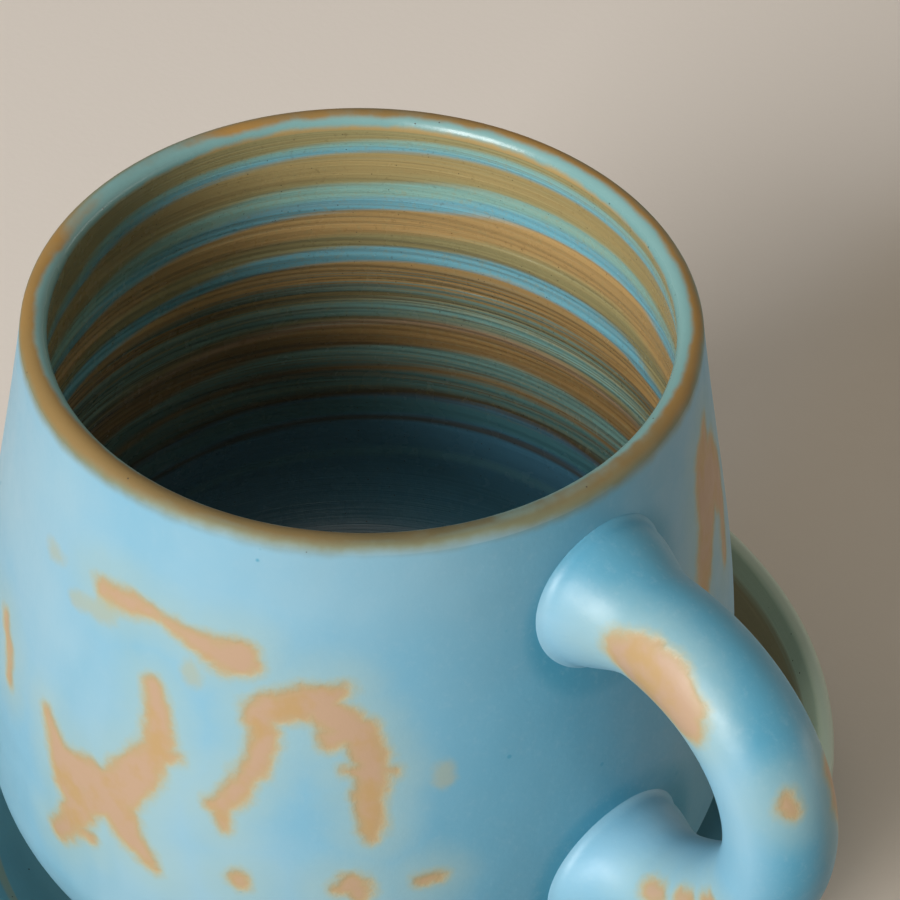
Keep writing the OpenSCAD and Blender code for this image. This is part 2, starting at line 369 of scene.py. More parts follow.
def srgb(red, green, blue):
    """A colour as it is seen, out of 255, in the linear values that the shaders take."""
    def linear(c):
        c /= 255
        return c / 12.92 if c <= 0.04045 else ((c + 0.055) / 1.055) ** 2.4
    return (linear(red), linear(green), linear(blue), 1.0)


# The camera's turn round the mug, from straight opposite -Y
CAMERA_TURN = 48.4


def turned(x, y, z):
    """A direction as seen from the camera's side, +Y away from it, in the part's frame."""
    return Matrix.Rotation(math.radians(CAMERA_TURN), 3, "Z") @ Vector((x, y, z))


# Share of a speck's radius inside which it has its full colour
SPECK_HEART = 0.5


class Paint:
    """A material under way: each call adds one shader node and gives the socket to go on from."""

    def __init__(self, name):
        self.material = bpy.data.materials.new(name)
        self.material.use_nodes = True
        self.tree = self.material.node_tree
        self.shader = self.tree.nodes["Principled BSDF"]

    def node(self, kind, sockets=(), **settings):
        made = self.tree.nodes.new(kind)
        for key, value in settings.items():
            setattr(made, key, value)
        for key, value in dict(sockets).items():
            if isinstance(value, bpy.types.NodeSocket):
                self.tree.links.new(value, made.inputs[key])
            else:
                made.inputs[key].default_value = value
        return made

    def place(self):
        return self.node("ShaderNodeTexCoord").outputs["Object"]

    def value(self, name):
        return self.node("ShaderNodeAttribute", attribute_name=name).outputs["Fac"]

    def scaled(self, vector, scale):
        sockets = {0: vector, 1: scale}
        return self.node("ShaderNodeVectorMath", sockets, operation="MULTIPLY").outputs[0]

    def along(self, vector, way):
        sockets = {0: vector, 1: way}
        return self.node("ShaderNodeVectorMath", sockets, operation="DOT_PRODUCT").outputs["Value"]

    def noise(self, vector, scale, detail=3.0, roughness=0.5):
        sockets = {"Vector": vector, "Scale": scale, "Detail": detail, "Roughness": roughness}
        return self.node("ShaderNodeTexNoise", sockets).outputs["Fac"]

    def specks(self, vector, scale, size, share):
        """1 inside small dots, which only a share of the cells hold."""
        cells = self.node("ShaderNodeTexVoronoi", {"Vector": vector, "Scale": scale})
        dot = self.span(cells.outputs["Distance"], size, size * SPECK_HEART)
        chosen = self.node("ShaderNodeSeparateColor", {"Color": cells.outputs["Color"]}).outputs[0]
        return self.math("MULTIPLY", dot, self.math("LESS_THAN", chosen, share))

    def math(self, operation, a, b=0.0, c=0.0):
        return self.node("ShaderNodeMath", {0: a, 1: b, 2: c}, operation=operation).outputs[0]

    def span(self, value, low, high, to_low=0.0, to_high=1.0):
        """Goes softly from to_low to to_high as the value goes from low to high."""
        sockets = {"Value": value, "From Min": low, "From Max": high, "To Min": to_low, "To Max": to_high}
        return self.node("ShaderNodeMapRange", sockets, interpolation_type="SMOOTHSTEP").outputs["Result"]

    def ramp(self, value, stops):
        made = self.node("ShaderNodeValToRGB", {"Fac": value})
        points = made.color_ramp.elements
        while len(points) < len(stops):
            points.new(0.5)
        for point, (at, colour) in zip(points, stops):
            point.position = at
            point.color = colour
        return made.outputs["Color"]

    def mix(self, share, a, b):
        made = self.node("ShaderNodeMix", data_type="RGBA")
        for key, value in (("Factor", share), ("A", a), ("B", b)):
            kind = "VALUE" if key == "Factor" else "RGBA"
            socket = next(s for s in made.inputs if s.name == key and s.type == kind)
            if isinstance(value, bpy.types.NodeSocket):
                self.tree.links.new(value, socket)
            else:
                socket.default_value = value
        return next(s for s in made.outputs if s.type == "RGBA")

    def bump(self, height, distance, normal=None):
        sockets = {"Height": height, "Distance": distance, "Strength": 1.0}
        if normal is not None:
            sockets["Normal"] = normal
        return self.node("ShaderNodeBump", sockets).outputs["Normal"]

    def finish(self, colour, roughness, normal, **fixed):
        for key, socket in (("Base Color", colour), ("Roughness", roughness), ("Normal", normal)):
            self.tree.links.new(socket, self.shader.inputs[key])
        for key, value in fixed.items():
            self.shader.inputs[key.replace("_", " ")].default_value = value
        return self.material


# Colours of the glazes and the clay
SKY = srgb(122, 174, 199)
SKY_PALE = srgb(143, 181, 198)
SKY_THIN = srgb(150, 178, 178)
SKY_DEEP = srgb(70, 147, 176)
BREAK_PINK = srgb(178, 148, 122)
BREAK_OCHRE = srgb(176, 145, 101)
BREAK_HALO = srgb(163, 164, 134)
LIP_BROWN = srgb(98, 90, 60)
LIP_ORANGE = srgb(162, 123, 62)
LIP_OLIVE = srgb(116, 122, 96)
LIP_BLUE = srgb(118, 160, 160)
LINER_TAN = srgb(184, 150, 98)
LINER_KHAKI = srgb(168, 148, 100)
LINER_BROWN = srgb(160, 126, 78)
LINER_DARK = srgb(96, 78, 48)
LINER_OLIVE = srgb(158, 148, 104)
LINER_TEAL = srgb(140, 182, 172)
LINER_DEEP = srgb(104, 148, 144)
LINER_BLUE = srgb(116, 176, 192)
LINER_NAVY = srgb(92, 152, 184)
LINER_POOL = srgb(88, 146, 158)
LINER_FLOOR = srgb(84, 80, 62)
# A pinkish painted highlight along one throwing ridge inside
LINER_RIDGE_HIGHLIGHT = srgb(190, 156, 124)
# Painted shade for the far left of the inside wall
LINER_SHADE = srgb(58, 50, 34)
SPECK = srgb(58, 50, 40)
CLAY = srgb(196, 166, 132)
CLAY_DARK = srgb(168, 134, 100)
CLAY_IRON = srgb(96, 64, 42)
SAUCER_TEAL = srgb(124, 184, 198)
SAUCER_OLIVE = srgb(182, 192, 164)
SAUCER_BROWN = srgb(158, 142, 106)
SAUCER_SAGE = srgb(168, 184, 166)
STAGE = srgb(231, 222, 214)
# The table top's painted shade, warmer where the mug's shadow falls
STAGE_SHADE_TINT = srgb(228, 215, 201)
STAGE_BOUNCE = srgb(120, 114, 106)
BACKDROP = srgb(198, 189, 178)

# Roughness of the satin glaze outside, the glossy glaze inside, the thin glaze on the lip and the saucer's
SATIN = 0.44
GLOSSY = 0.24
LIP_GLOSS = 0.68
SAUCER_GLOSS = 0.34
# Index of refraction of the glaze and of the clay, and the clear skin over the glossy glazes
GLAZE_IOR = 1.5
CLAY_IOR = 1.45
CLEAR_SKIN = {"Coat_Weight": 0.3, "Coat_Roughness": 0.1}
# Depths in metres of the glaze's ripples, its orange peel and what a piece adds, and of the clay's grit
RIPPLE_DEPTH = 0.0004
PEEL_DEPTH = 0.00002
DETAIL_DEPTH = 0.0001
GRIT_DEPTH = 0.00008


def glaze_surface(paint, place, gloss, extra=None):
    """Roughness and normal of a glaze: faint ripples, a fine orange peel and what a piece adds."""
    roughness = paint.math("ADD", paint.span(paint.noise(place, 260.0), 0.3, 0.7, -0.04, 0.06), gloss)
    normal = paint.bump(paint.noise(place, 55.0, 2.0), RIPPLE_DEPTH)
    normal = paint.bump(paint.noise(place, 1400.0, 2.0), PEEL_DEPTH, normal)
    if extra is not None:
        normal = paint.bump(extra, DETAIL_DEPTH, normal)
    return roughness, normal


def lip_tint(paint, place, colour):
    """Lays the lip's thin brown glaze over a colour, by the run from its crest: more than 0 outside."""
    run = paint.value("lip_run")
    patchy = paint.noise(place, 30.0, 3.0)
    ragged = paint.math("MULTIPLY_ADD", paint.noise(place, 350.0, 3.0), 1.0, -0.5)
    edge = paint.math("ADD", run, ragged)
    outer = paint.math("SUBTRACT", edge, paint.span(patchy, 0.35, 0.65, 0.0, 0.9))
    outer = paint.math("SUBTRACT", outer, paint.value("lip_out"))
    inner = paint.math("ADD", edge, paint.value("lip_reach"))
    depth = paint.math("ADD", edge, paint.value("lip_pale"))
    heat = paint.math("ADD", paint.value("lip_heat"), paint.span(patchy, 0.4, 0.7, -0.2, 0.2))
    brown = paint.mix(heat, LIP_BROWN, LIP_ORANGE)
    outside_only = paint.span(run, -0.6, 0.2)
    olive = paint.math("MULTIPLY", outside_only, paint.span(outer, 3.1, 0.9))
    colour = paint.mix(olive, colour, LIP_OLIVE)
    pale = paint.math("MULTIPLY", paint.span(run, 1.2, 0.2), paint.span(depth, -0.5, 0.4))
    colour = paint.mix(pale, colour, LIP_BLUE)
    crest = paint.math("MULTIPLY", paint.span(outer, 1.6, 0.2), paint.span(inner, -0.4, 0.5))
    worn = paint.math("ADD", paint.value("lip_burn"), paint.span(ragged, -0.3, 0.3, -0.15, 0.15))
    return paint.mix(paint.math("MULTIPLY", crest, paint.span(worn, 0.0, 0.9)), colour, brown)


def sky_glaze(name, has_lip):
    """Sky-blue satin glaze that breaks to pinkish tan where it ran thin."""
    paint = Paint(name)
    place = paint.place()
    runs = paint.noise(paint.scaled(place, (70, 70, 14)), 1.0, 3.0)
    clouds = paint.noise(place, 26.0, 4.0, 0.55)
    colour = paint.mix(paint.span(clouds, 0.35, 0.7), SKY, SKY_PALE)
    colour = paint.mix(paint.span(runs, 0.52, 0.75, 0.0, 0.22), colour, SKY_DEEP)
    # Painted shade, partly glaze pooling: darker blue beside the handle, round its joints and on its outer
    # face
    colour = paint.mix(paint.value("pool_and_shade"), colour, SKY_DEEP)
    mottle = paint.noise(place, 900.0, 3.0, 0.7)
    colour = paint.mix(paint.span(mottle, 0.5, 0.8, 0.0, 0.22), colour, SKY_PALE)

    ragged = paint.math("MULTIPLY_ADD", paint.noise(place, 300.0, 4.0, 0.6), 2.6, -0.8)
    depth = paint.math("ADD", paint.value("break_depth"), ragged)
    patchy = paint.noise(place, 240.0, 3.0)
    heart = paint.mix(paint.span(patchy, 0.45, 0.7), BREAK_PINK, BREAK_OCHRE)
    colour = paint.mix(paint.span(depth, -7.0, -0.8, 0.0, 0.55), colour, SKY_THIN)
    colour = paint.mix(paint.span(depth, -1.9, -0.1, 0.0, 0.8), colour, BREAK_HALO)
    colour = paint.mix(paint.span(depth, -1.0, 0.3, 0.0, 0.8), colour, BREAK_OCHRE)
    colour = paint.mix(paint.span(depth, -0.3, 1.1), colour, heart)
    faint = paint.math("ADD", paint.value("faint_depth"), ragged)
    colour = paint.mix(paint.span(faint, -1.2, 0.6, 0.0, 0.55), colour, BREAK_HALO)
    specks = paint.math("MULTIPLY", paint.span(depth, -0.5, -1.5), paint.specks(place, 330.0, 0.14, 0.05))
    colour = paint.mix(specks, colour, SKY_DEEP)
    if has_lip:
        colour = lip_tint(paint, place, colour)
    roughness, normal = glaze_surface(paint, place, SATIN, paint.span(depth, 0.4, -1.0))
    return paint.finish(colour, roughness, normal, IOR=GLAZE_IOR)


# Colours up the inside, by height above the mug's foot, and the heights of the ends of that scale. The
# pinkish stop at 45.6 is a painted highlight along a ridge's crest
LINER_LOW = 26.0
LINER_HIGH = 82.0
LINER_BANDS = [
    (26.0, LINER_NAVY), (31.5, LINER_NAVY), (32.6, LINER_DARK), (33.8, LINER_DEEP), (36.0, LINER_DEEP),
    (37.0, LINER_BROWN), (38.2, LINER_DEEP), (40.6, LINER_TEAL), (41.4, LINER_BROWN), (44.6, LINER_BROWN),
    (45.6, LINER_RIDGE_HIGHLIGHT), (46.8, LINER_OLIVE), (48.0, LINER_TEAL), (50.5, LINER_OLIVE), (52.5, LINER_BROWN),
    (56.4, LINER_TAN), (57.1, LINER_BLUE), (58.8, LINER_BLUE), (59.6, LINER_OLIVE), (61.4, LINER_OLIVE),
    (62.4, LINER_TAN), (65.9, LINER_TAN), (66.6, LINER_BLUE), (68.0, LINER_BLUE), (69.0, LINER_TEAL),
    (70.6, LINER_TEAL), (71.6, LINER_OLIVE), (73.2, LINER_KHAKI), (76.2, LINER_KHAKI), (77.0, LINER_BLUE),
    (78.4, LINER_TEAL), (79.1, LINER_OLIVE),
]
# How far those bands sink, by turn from the handle: the lower bands, the upper ones and those under the lip
BAND_DIP = [
    (38, 2.4, 0.5, 0.5), (68, 2.4, -1.2, -0.2), (75, 2.0, -2.0, -0.3), (83, 0.6, -2.6, -0.4),
    (99, -0.4, -2.4, -0.5), (114, -0.9, -1.7, -0.5), (129, -0.5, -0.5, -0.2), (138, 0.0, 0.0, 0.0),
    (159, 1.0, 0.7, 0.8), (175, 2.2, 1.7, 1.4), (190, 3.2, 3.0, 2.2), (205, 4.4, 5.2, 3.5),
    (230, 5.0, 5.5, 4.0), (260, 4.2, 4.5, 3.5), (290, 3.6, 3.3, 3.0), (320, 3.0, 2.2, 2.0),
    (358, 2.6, 1.2, 1.0),
]
# Heights over which the sinking sets in above the floor, and then passes to the upper bands' and the lip's
SINK_RISE = (9.0, 20.0)
UPPER_RISE_H = (57.0, 67.0)
LIP_RISE_H = (72.0, 77.0)
# Rings low down inside: the heights between which each lies, how strong it is and its colour. The pale blue
# ring lowest down is a painted reflection of the light in the bowl's corner
LINER_RINGS_AND_REFLECTION = [(28.6, 31.6, 1.0, LINER_POOL), (27.2, 28.2, 0.75, LINER_DARK), (21.0, 22.4, 0.6, LINER_BLUE)]
RING_EDGE = 0.5
# Heights over which parts of the pattern come in or fade: the lines on the wall, the ridged middle from
# below and from above, the fewer lines over it, the painted shade on the inside wall and the floor's brown
LINES_START = (29.0, 34.0)
MIDDLE_START = (44.5, 47.5)
MIDDLE_END = (56.0, 53.5)
LINES_THIN_OUT = (53.0, 56.5)
SHADE_FADE = (64.0, 34.0)
FLOOR_START = (12.0, 7.4)
# Painted shade inside: the way, as seen from the camera's side, to where the inside wall is painted darker,
# the distances in metres over which it darkens, and how dark it gets
SHADE_WAY = (-0.7, 0.7, 0.0)
SHADE_REACH = (0.012, 0.04)
INSIDE_SHADE = 0.6


def banded_glaze():
    """Teal and tan glaze in bands that follow the throwing rings, with fine lines and iron specks."""
    paint = Paint("banded_glaze")
    place = paint.place()
    height = paint.value("band_height")
    sway = paint.math("MULTIPLY_ADD", paint.noise(paint.scaled(place, (22, 22, 60)), 1.0, 3.0), 1.8, -0.9)
    lines = paint.noise(paint.scaled(place, (10, 10, 900)), 1.0, 4.0, 0.65)
    frayed = paint.math("MULTIPLY_ADD", lines, 1.6, -0.8)
    level = paint.math("ADD", paint.math("ADD", height, sway), frayed)
    share = paint.math("DIVIDE", paint.math("SUBTRACT", level, LINER_LOW), LINER_HIGH - LINER_LOW)
    stops = [((at - LINER_LOW) / (LINER_HIGH - LINER_LOW), colour) for at, colour in LINER_BANDS]
    colour = paint.ramp(share, stops)
    # The last ring is a painted reflection; the others are glaze colours
    for low, high, strength, over in LINER_RINGS_AND_REFLECTION:
        above = paint.span(level, low - RING_EDGE, low + RING_EDGE, 0.0, strength)
        ring = paint.math("MULTIPLY", above, paint.span(level, high + RING_EDGE, high - RING_EDGE))
        colour = paint.mix(ring, colour, over)

    def streak(share, where, over):
        return paint.mix(paint.math("MULTIPLY", share, where), colour, over)

    puddles = paint.span(paint.noise(place, 45.0, 4.0, 0.6), 0.35, 0.65, 0.55, 1.0)
    colour = streak(paint.span(height, *FLOOR_START), puddles, LINER_FLOOR)
    on_wall = paint.span(height, *LINES_START)
    middle = paint.math("MULTIPLY", paint.span(height, *MIDDLE_START), paint.span(height, *MIDDLE_END))
    lined = paint.math("MULTIPLY", on_wall, paint.span(height, *LINES_THIN_OUT, 1.0, 0.3))
    streaks = paint.noise(paint.scaled(place, (12, 12, 1000)), 1.0, 3.0, 0.7)
    colour = streak(paint.span(streaks, 0.5, 0.36, 0.0, 0.4), lined, LINER_BROWN)
    colour = streak(paint.span(streaks, 0.58, 0.72, 0.0, 0.35), on_wall, LINER_OLIVE)
    ridges = paint.noise(paint.scaled(place, (8, 8, 1300)), 1.0, 2.0, 0.6)
    colour = streak(paint.span(ridges, 0.51, 0.58, 0.0, 0.75), middle, LINER_DEEP)
    colour = streak(paint.span(ridges, 0.46, 0.40, 0.0, 0.7), middle, LINER_DARK)
    thin_lines = paint.noise(paint.scaled(place, (16, 16, 2600)), 1.0, 3.0, 0.7)
    colour = streak(paint.span(thin_lines, 0.52, 0.7, 0.0, 0.6), lined, LINER_DARK)
    colour = streak(paint.span(thin_lines, 0.46, 0.28, 0.0, 0.35), lined, LINER_TEAL)
    grain = paint.noise(place, 1300.0, 3.0, 0.7)
    colour = streak(paint.span(grain, 0.5, 0.72, 0.0, 0.35), on_wall, LINER_OLIVE)
    colour = streak(paint.span(grain, 0.42, 0.26, 0.0, 0.35), on_wall, LINER_DARK)
    colour = paint.mix(paint.specks(place, 900.0, 0.1, 0.22), colour, SPECK)
    colour = paint.mix(paint.specks(place, 1500.0, 0.14, 0.12), colour, SPECK)
    # Painted shade: the far left of the inside wall is darkened, more so lower down
    painted_shade = paint.span(paint.along(place, turned(*SHADE_WAY)), *SHADE_REACH, 0.0, INSIDE_SHADE)
    colour = streak(painted_shade, paint.span(height, *SHADE_FADE), LINER_SHADE)
    colour = lip_tint(paint, place, colour)
    roughness, normal = glaze_surface(paint, place, GLOSSY, thin_lines)
    return paint.finish(colour, roughness, normal, IOR=GLAZE_IOR, **CLEAR_SKIN)


def lip_glaze():
    """The glaze of the lip, where the iron of the clay shows brown."""
    paint = Paint("lip_glaze")
    place = paint.place()
    run = paint.value("lip_run")
    base = paint.mix(paint.noise(place, 26.0, 4.0, 0.55), SKY, SKY_PALE)
    lines = paint.noise(paint.scaled(place, (12, 12, 1000)), 1.0, 3.0, 0.7)
    under_lip = paint.mix(paint.span(lines, 0.4, 0.6, 0.4, 1.0), LINER_TAN, LINER_OLIVE)
    base = paint.mix(paint.span(run, -0.8, -1.4), base, under_lip)
    colour = lip_tint(paint, place, base)
    colour = paint.mix(paint.specks(place, 900.0, 0.12, 0.12), colour, SPECK)
    roughness, normal = glaze_surface(paint, place, paint.span(run, -0.4, -1.4, LIP_GLOSS, GLOSSY))
    return paint.finish(colour, roughness, normal, IOR=GLAZE_IOR)


# On the saucer's upper face, by the run from its lip: where the ring in the well starts, is full, starts to
# fade and ends, where each band nearer the lip starts and is full, with its colour, and where the crest does
WELL_RING = (19.2, 18.4, 18.0, 17.2)
SAUCER_BANDS = [(13.0, 9.0, SAUCER_BROWN), (4.8, 3.6, SAUCER_OLIVE), (1.8, 0.4, SAUCER_SAGE)]
SAUCER_CREST = (0.4, -0.6)


def saucer_glaze():
    """Dark teal glaze with an olive lip, a brown band under it and iron specks."""
    paint = Paint("saucer_glaze")
    place = paint.place()
    clouds = paint.noise(place, 30.0, 4.0, 0.55)
    lines = paint.noise(paint.scaled(place, (12, 12, 700)), 1.0, 4.0, 0.65)
    frayed = paint.math("MULTIPLY_ADD", lines, 2.4, -1.2)
    drop = paint.math("ADD", paint.value("lip_drop"), frayed)
    colour = paint.mix(paint.span(clouds, 0.4, 0.75, 0.0, 0.7), SAUCER_TEAL, LINER_NAVY)
    start, full, fade, end = WELL_RING
    ring = paint.math("MULTIPLY", paint.span(drop, start, full), paint.span(drop, end, fade))
    colour = paint.mix(ring, colour, SAUCER_SAGE)
    for start, full, over in SAUCER_BANDS:
        colour = paint.mix(paint.span(drop, start, full), colour, over)
    colour = paint.mix(paint.span(paint.value("lip_drop"), *SAUCER_CREST), colour, SAUCER_SAGE)
    colour = paint.mix(paint.specks(place, 800.0, 0.12, 0.2), colour, SPECK)
    roughness, normal = glaze_surface(paint, place, SAUCER_GLOSS, lines)
    return paint.finish(colour, roughness, normal, IOR=GLAZE_IOR, **CLEAR_SKIN)


def stoneware():
    """Bare fired clay: matt, tan, gritty and iron-specked."""
    paint = Paint("stoneware")
    place = paint.place()
    colour = paint.mix(paint.span(paint.noise(place, 60.0, 5.0), 0.35, 0.7), CLAY, CLAY_DARK)
    tool_lines = paint.noise(paint.scaled(place, (60, 60, 1500)), 1.0, 3.0)
    colour = paint.mix(paint.span(tool_lines, 0.5, 0.75, 0.0, 0.35), colour, CLAY_DARK)
    colour = paint.mix(paint.specks(place, 700.0, 0.2, 0.2), colour, CLAY_IRON)
    roughness = paint.span(paint.noise(place, 900.0), 0.3, 0.7, 0.7, 0.9)
    normal = paint.bump(paint.noise(place, 1600.0, 4.0, 0.6), GRIT_DEPTH)
    return paint.finish(colour, roughness, normal, IOR=CLAY_IOR)


def closed_profile(front, back):
    """A coat's section: its finished face, then the clay's face the other way."""
    return np.concatenate([front, back[::-1]])


def pool_and_shade(turn, radius, height):
    """How much darker blue the glaze is painted: a little beside the handle, and most in the corner at its
    joints. This is partly glaze pooling and partly painted shade.
    """
    beside = POOL_AND_SHADE * np.exp(-(turn / np.where(turn < 0, POOL_SHADE_TURN, POOL_SHADE_TURN_BACK)) ** 2)
    across = radius * np.radians(turn)
    for joint, seat in ((upper_h, upper_seat), (LOWER_H, lower_seat)):
        past_seat = np.maximum(np.hypot(across, height - joint) - seat, 0)
        beside = np.maximum(beside, np.exp(-(past_seat / POOL_SHADE_RUN) ** 2))
    return beside


def make_outer_coat(material):
    front = wall_line
    back = outside(0, BACK_STEPS, BACK_STEPS)
    line = closed_profile(front, back)
    radius = line[:, 0]
    verts, faces = lathe(radius, line[:, 1] + MUG_Z, SIDES)
    run = arc_length(front)
    lip_run = np.concatenate([run[-1] - run, np.full(len(back), FAR)]) + LIP_R * math.pi / 2
    turn = turn_of(verts)
    height = verts[:, 2] - MUG_Z
    at_radius = np.hypot(verts[:, 0], verts[:, 1])
    values = {
        "break_depth": stroke_depth(BREAKS + SIDE_BREAKS + BACK_BREAKS, turn, at_radius, height),
        "faint_depth": stroke_depth(FAINT_RUNS, turn, at_radius, height),
        "pool_and_shade": pool_and_shade(turn, at_radius, height),
        "lip_run": row_values(lip_run, radius, SIDES),
        **round_lip(verts),
    }
    make_piece("outer_coat", verts, faces, values, "mug", "outer_glaze", material)


def make_lip_coat(material):
    front = lip_line(GLAZE_T, LIP_STEPS)
    back = lip_line(0, LIP_STEPS)
    line = closed_profile(front, back)
    verts, faces = lathe(line[:, 0], line[:, 1] + MUG_Z, SIDES)
    crest = LIP_R * math.pi / 2
    lip_run = np.concatenate([crest - arc_length(front), np.zeros(len(back))])
    values = {"lip_run": row_values(lip_run, line[:, 0], SIDES), **round_lip(verts)}
    make_piece("lip_coat", verts, faces, values, "mug", "lip_glaze", material)


def band_dip(verts, height):
    """How far the bands have sunk at the turn and the height of each point."""
    turns, *columns = np.array(BAND_DIP).T
    low, high, lip = (np.interp(turn_of(verts), turns, dip, period=360) for dip in columns)
    dip = low + (high - low) * np.interp(height, UPPER_RISE_H, (0, 1))
    dip += (lip - high) * np.interp(height, LIP_RISE_H, (0, 1))
    return dip * np.interp(height, SINK_RISE, (0, 1))


# The fine ridges on the throwing rings: half their height, how many a ring has and how far they sway
RIDGE_H = 0.05
RIDGE_COUNT = 4
RIDGE_SWAY = 1.3


def make_liner_coat(material):
    t = np.linspace(0, 1, RING_STEPS + 1)
    wall = bezier(inside_curve, t)
    corner = bowl_corner(GLAZE_T, CORNER_STEPS)
    front = joined(wall, corner, level_line(corner[-1][0], 0, FLOOR_Z, FLOOR_STEPS))
    clay_wall = joined(curve(inside_curve, BACK_STEPS, GLAZE_T), bowl_corner(0, BACK_STEPS))
    back = np.concatenate([clay_wall, [[0, FLOOR_Z - GLAZE_T]]])
    line = closed_profile(front, back)
    turn = np.linspace(0, 2 * math.pi, SIDES, endpoint=False)
    radius = [np.array([r]) for r in line[:, 0]]
    for i, share in enumerate(t):
        swing = 2 * math.pi * RING_COUNT * share + turn
        ridges = 1 - np.cos(RIDGE_COUNT * swing + RIDGE_SWAY * np.sin(swing))
        rise = RING_H / 2 * (1 - np.cos(swing)) + RIDGE_H * ridges
        radius[i] = line[i, 0] - math.sin(math.pi * share) * rise
    verts, faces = lathe(radius, line[:, 1] + MUG_Z, SIDES)
    run = arc_length(front)
    lip_run = np.concatenate([-run, np.full(len(back), -FAR)]) - LIP_R * math.pi / 2
    height = row_values(line[:, 1], radius, SIDES)
    values = {
        "lip_run": row_values(lip_run, radius, SIDES),
        "band_height": height + band_dip(verts, height),
        **round_lip(verts),
    }
    make_piece("liner_coat", verts, faces, values, "mug", "liner_glaze", material)


# The handle's path as x and z, from inside the wall at the upper joint to inside it at the lower
upper_seat = HANDLE_T / 2 + UPPER_FLARE
lower_seat = HANDLE_T / 2 + LOWER_FLARE
upper_depth = upper_seat / 2
lower_depth = lower_seat / 2
upper_h = MUG_H - LIP_GAP - upper_seat / math.cos(math.radians(UPPER_RISE))
upper_joint = np.array([wall_radius(upper_h) - GLAZE_T - upper_depth, upper_h])
lower_joint = np.array([wall_radius(LOWER_H) - GLAZE_T - lower_depth, LOWER_H])
handle_path = [
    upper_joint,
    upper_joint + (UPPER_PULL + upper_depth) * direction(UPPER_RISE),
    lower_joint + (LOWER_PULL + lower_depth) * direction(LOWER_RISE),
    lower_joint,
]
# The glaze's own fillet, which carries the spread of the clay smoothly on to the wall
TOE = 0.6
TOE_RUN = 1.5
# How deep the coat's ends lie in the coat on the wall
TUCK = 0.15
# Times the spread is worked out again for the point it has made
SPREAD_ROUNDS = 8
# Shares of the path, inside the wall and out of it, between which each end of the coat lies, and how often
# that stretch is halved in the search for it
START_BETWEEN = (0.0, 0.3)
END_BETWEEN = (1.0, 0.7)
SEARCH_ROUNDS = 40
# How much closer together the rows of points lie at the ends of the handle than in the middle
BUNCHING = 0.7


def handle_points(t, angle, coat):
    """Points of the handle for shares of its path and angles round it, and how far each is from the wall."""
    here = bezier(handle_path, t)
    rise = to_left(bezier_run(handle_path, t))

    def oval(grow):
        at = here + ((HANDLE_T / 2 + grow) * np.cos(angle))[..., None] * rise
        return np.stack([at[..., 0], (HANDLE_W / 2 + grow) * np.sin(angle), at[..., 1]], axis=-1)

    def gap(points):
        return np.hypot(points[..., 0], points[..., 1]) - wall_radius(points[..., 2])

    flare = np.where(t < 0.5, UPPER_FLARE, LOWER_FLARE)
    at_wall = (flare + FINGER_FLARE + (flare - FINGER_FLARE) * np.cos(angle)) / 2
    spread = np.zeros_like(t)
    for _ in range(SPREAD_ROUNDS):
        away = np.maximum(gap(oval(spread)), 0)
        spread = at_wall * (1 + np.cos(math.pi * np.minimum(away / FLARE_RUN, 1))) / 2
        spread = spread + TOE * np.maximum(1 - away / TOE_RUN, 0) ** 3
    points = oval(spread + coat - GLAZE_T)
    return points, gap(points)


def where_it_meets_the_wall(angle, inside_t, outside_t):
    """The share of the path at which each line along the handle goes into the wall's coat."""
    low = np.full(angle.shape, inside_t)
    high = np.full(angle.shape, outside_t)
    for _ in range(SEARCH_ROUNDS):
        middle = (low + high) / 2
        buried = handle_points(middle, angle, GLAZE_T)[1] < -TUCK
        low = np.where(buried, middle, low)
        high = np.where(buried, high, middle)
    return (low + high) / 2


# Thin places on the handle, as lines of (share along the handle, angle round it in degrees, half width)
HANDLE_BREAKS = [
    [(0.14, 278, 1.8), (0.17, 280, 3.2), (0.21, 280, 3.4), (0.245, 278, 2.6), (0.272, 277, 1.4)],
    [(0.424, 333, 0.3), (0.43, 336, 0.2)],
    [(0.42, 44, 0.5), (0.46, 50, 1.2), (0.50, 54, 0.8)],
    [(0.84, 238, 0.6), (0.82, 239, 0.2)],
    [(0.77, 244, 0.7), (0.75, 246, 0.4)],
    [(0.70, 256, 0.5), (0.68, 256, 0.2)],
    [(0.36, 150, 1.2), (0.40, 145, 1.5), (0.45, 150, 0.4)],
    [(0.62, 120, 0.5), (0.64, 124, 0.2)],
]
# The length along the handle to which those shares refer
HANDLE_RUN = 86.0
# Share by which the glaze is painted darker blue on the handle's outer face as a painted shade, and the
# cosines of the angles round it at which that starts and is full
HANDLE_SHADE = 0.85
HANDLE_SHADE_FROM = (0.25, 0.875)


